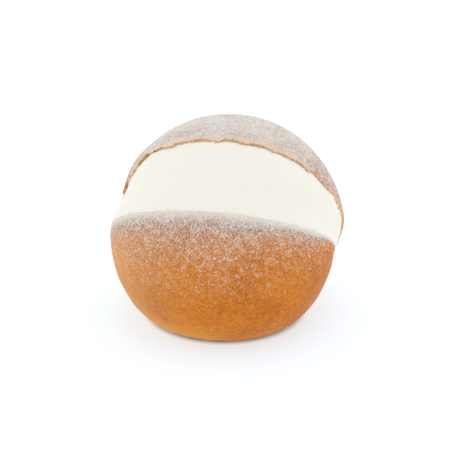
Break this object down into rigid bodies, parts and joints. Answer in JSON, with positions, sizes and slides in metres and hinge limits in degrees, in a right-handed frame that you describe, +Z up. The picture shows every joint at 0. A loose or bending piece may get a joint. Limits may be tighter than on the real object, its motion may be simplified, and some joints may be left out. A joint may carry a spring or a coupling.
{
  "type": "cream bun",
  "caption": "Round sweet bun, slit from the front like a mouth, its wedge-shaped opening filled level with whipped cream.",
  "frame": {"origin": "middle of the underside of the whole's bounding box, on the surface that the bun stands on", "axes": "+Z up through the bun, -Y out of the open mouth, +X to the right as one looks into the mouth"},
  "size_m": [0.1018, 0.1012, 0.0879],
  "materials": {
    "baked_crust": "golden-orange baked crust, satin, dusted white with icing sugar on the lid and round the mouth",
    "whipped_cream": "ivory whipped cream, smoothed level with a spatula"
  },
  "bodies": {
    "root": {"bun": "baked_crust", "cream": "whipped_cream"}
  },
  "joints": []
}
